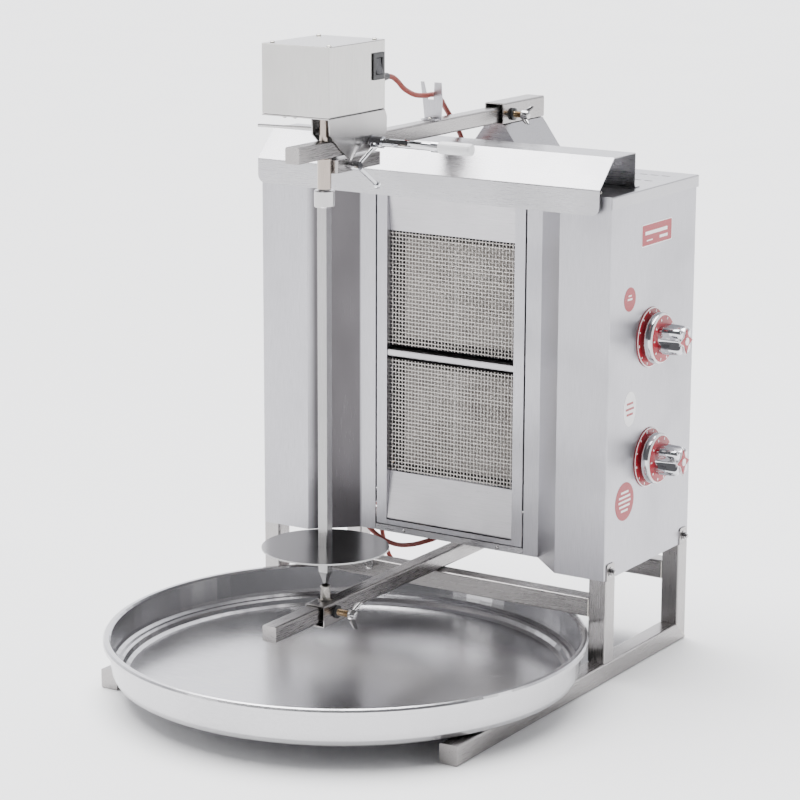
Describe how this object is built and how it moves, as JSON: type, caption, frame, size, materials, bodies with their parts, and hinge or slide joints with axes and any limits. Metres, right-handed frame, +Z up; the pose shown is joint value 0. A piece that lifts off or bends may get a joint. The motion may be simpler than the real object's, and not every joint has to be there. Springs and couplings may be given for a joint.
{
  "type": "vertical rotisserie broiler",
  "caption": "Tabletop gas broiler with an upright motor-driven spit, a sliding motor arm, stacked radiant burners and a round drip tray on a square-tube stand.",
  "frame": {"origin": "on the floor, in the middle of the footprint", "axes": "+X towards the control knobs, +Y towards the back of the cabinet, +Z up"},
  "size_m": [0.6225, 0.7916, 0.8165],
  "materials": {
    "brushed_steel": "brushed stainless sheet",
    "polished_steel": "polished stainless",
    "tube_steel": "ground stainless tube",
    "dark_steel": "dark steel",
    "mesh_steel": "woven steel wire",
    "ceramic": "porous ceramic",
    "brass": "machined brass",
    "chrome": "chrome plate",
    "black_plastic": "moulded black plastic",
    "red_plastic": "red printed disc",
    "white_plastic": "white plastic",
    "cord_rubber": "brick-red silicone"
  },
  "bodies": {
    "broiler_body": {"arm_sleeve": "tube_steel", "back_panel": "brushed_steel", "bottom_panel": "brushed_steel", "burner_frame": "brushed_steel", "cord_coil": "cord_rubber", "divider_bar": "brushed_steel", "front_crossbar": "tube_steel", "front_left_post": "tube_steel", "front_right_post": "tube_steel", "gas_manifold": "brass", "hood": "brushed_steel", "left_runner": "tube_steel", "left_side_panel": "brushed_steel", "lower_arm_guide": "tube_steel", "lower_burner_box": "dark_steel", "lower_dial": "red_plastic", "lower_gas_valve": "brass", "lower_reflector": "brushed_steel", "lower_screen": "mesh_steel", "lower_tiles": "ceramic", "power_cord": "cord_rubber", "power_plug": "black_plastic", "rear_crossbar": "tube_steel", "rear_left_post": "tube_steel", "rear_right_post": "tube_steel", "right_runner": "tube_steel", "right_side_panel": "brushed_steel", "sleeve_bracket": "brushed_steel", "top_panel": "brushed_steel", "upper_burner_box": "dark_steel", "upper_dial": "red_plastic", "upper_gas_valve": "brass", "upper_reflector": "brushed_steel", "upper_screen": "mesh_steel", "upper_tiles": "ceramic"},
    "upper_arm_and_head": {"upper_arm": "tube_steel", "head_saddle": "brushed_steel", "motor_cover": "polished_steel", "gear_motor": "dark_steel", "switch_bezel": "black_plastic", "cord_gland": "black_plastic", "clamp_bar": "tube_steel", "cord_clip": "brushed_steel"},
    "clamp_lever": {"clamp_lever": "polished_steel"},
    "side_handle": {"handle_rod": "chrome", "handle_grip": "white_plastic"},
    "release_lever": {"release_lever": "polished_steel"},
    "power_rocker": {"power_rocker": "black_plastic"},
    "spit": {"drive_shaft": "polished_steel", "drive_collar": "polished_steel", "spit": "polished_steel"},
    "meat_disk": {"meat_disk": "polished_steel"},
    "lower_arm": {"lower_arm": "tube_steel"},
    "bearing": {"bearing_slider": "tube_steel", "bearing_post": "polished_steel"},
    "slider_wing_screw": {"slider_wing_screw": "brass"},
    "sleeve_wing_screw": {"sleeve_wing_screw": "brass"},
    "drip_tray": {"drip_tray": "polished_steel"},
    "lower_knob": {"lower_knob": "chrome"},
    "upper_knob": {"upper_knob": "chrome"}
  },
  "joints": [
    {"name": "upper_arm_slide", "type": "slide", "parent": "broiler_body", "child": "upper_arm_and_head", "axis": [0, 1, 0], "range_m": [-0.015, 0.11], "deforming": ["power_cord"]},
    {"name": "lower_arm_slide", "type": "slide", "parent": "broiler_body", "child": "lower_arm", "axis": [0, 1, 0], "range_m": [-0.015, 0.11]},
    {"name": "bearing_slide", "type": "slide", "parent": "lower_arm", "child": "bearing", "axis": [0, 1, 0], "range_m": [-0.06, 0.09]},
    {"name": "slider_wing_turn", "type": "hinge", "parent": "bearing", "child": "slider_wing_screw", "pos_m": [0.0302, -0.1305, 0.1188], "axis": [1, 0, 0], "range_deg": [-180, 180]},
    {"name": "sleeve_wing_turn", "type": "hinge", "parent": "broiler_body", "child": "sleeve_wing_screw", "pos_m": [0.0302, 0.29, 0.6932], "axis": [1, 0, 0], "range_deg": [-180, 180]},
    {"name": "spit_spin", "type": "hinge", "parent": "upper_arm_and_head", "child": "spit", "pos_m": [0.003, -0.1305, 0.6345], "axis": [0, 0, 1], "continuous": true},
    {"name": "disk_lift", "type": "slide", "parent": "spit", "child": "meat_disk", "axis": [0, 0, 1], "range_m": [0, 0.4]},
    {"name": "clamp_lever_turn", "type": "hinge", "parent": "upper_arm_and_head", "child": "clamp_lever", "pos_m": [0.0166, -0.088, 0.67], "axis": [1, 0, 0], "range_deg": [0, 40]},
    {"name": "side_handle_turn", "type": "hinge", "parent": "upper_arm_and_head", "child": "side_handle", "pos_m": [0.0166, -0.047, 0.6945], "axis": [1, 0, 0], "range_deg": [-180, 180]},
    {"name": "release_lever_press", "type": "hinge", "parent": "upper_arm_and_head", "child": "release_lever", "pos_m": [-0.0035, -0.112, 0.712], "axis": [0, 1, 0], "range_deg": [-8, 0], "stiffness_Nm_per_rad": 0.2, "springref_deg": 11.46},
    {"name": "power_switch", "type": "hinge", "parent": "upper_arm_and_head", "child": "power_rocker", "pos_m": [0.0153, -0.033, 0.785], "axis": [0, 1, 0], "range_deg": [0, 14]},
    {"name": "tray_slide", "type": "slide", "parent": "broiler_body", "child": "drip_tray", "axis": [0, -1, 0], "range_m": [0, 0.15]},
    {"name": "lower_knob_turn", "type": "hinge", "parent": "broiler_body", "child": "lower_knob", "pos_m": [0.2694, 0.227, 0.2745], "axis": [1, 0, 0], "range_deg": [0, 180]},
    {"name": "upper_knob_turn", "type": "hinge", "parent": "broiler_body", "child": "upper_knob", "pos_m": [0.2694, 0.227, 0.432], "axis": [1, 0, 0], "range_deg": [0, 180]}
  ],
  "couplings": [
    {"joint": "lower_arm_slide", "follows": "upper_arm_slide", "ratio": 1}
  ]
}
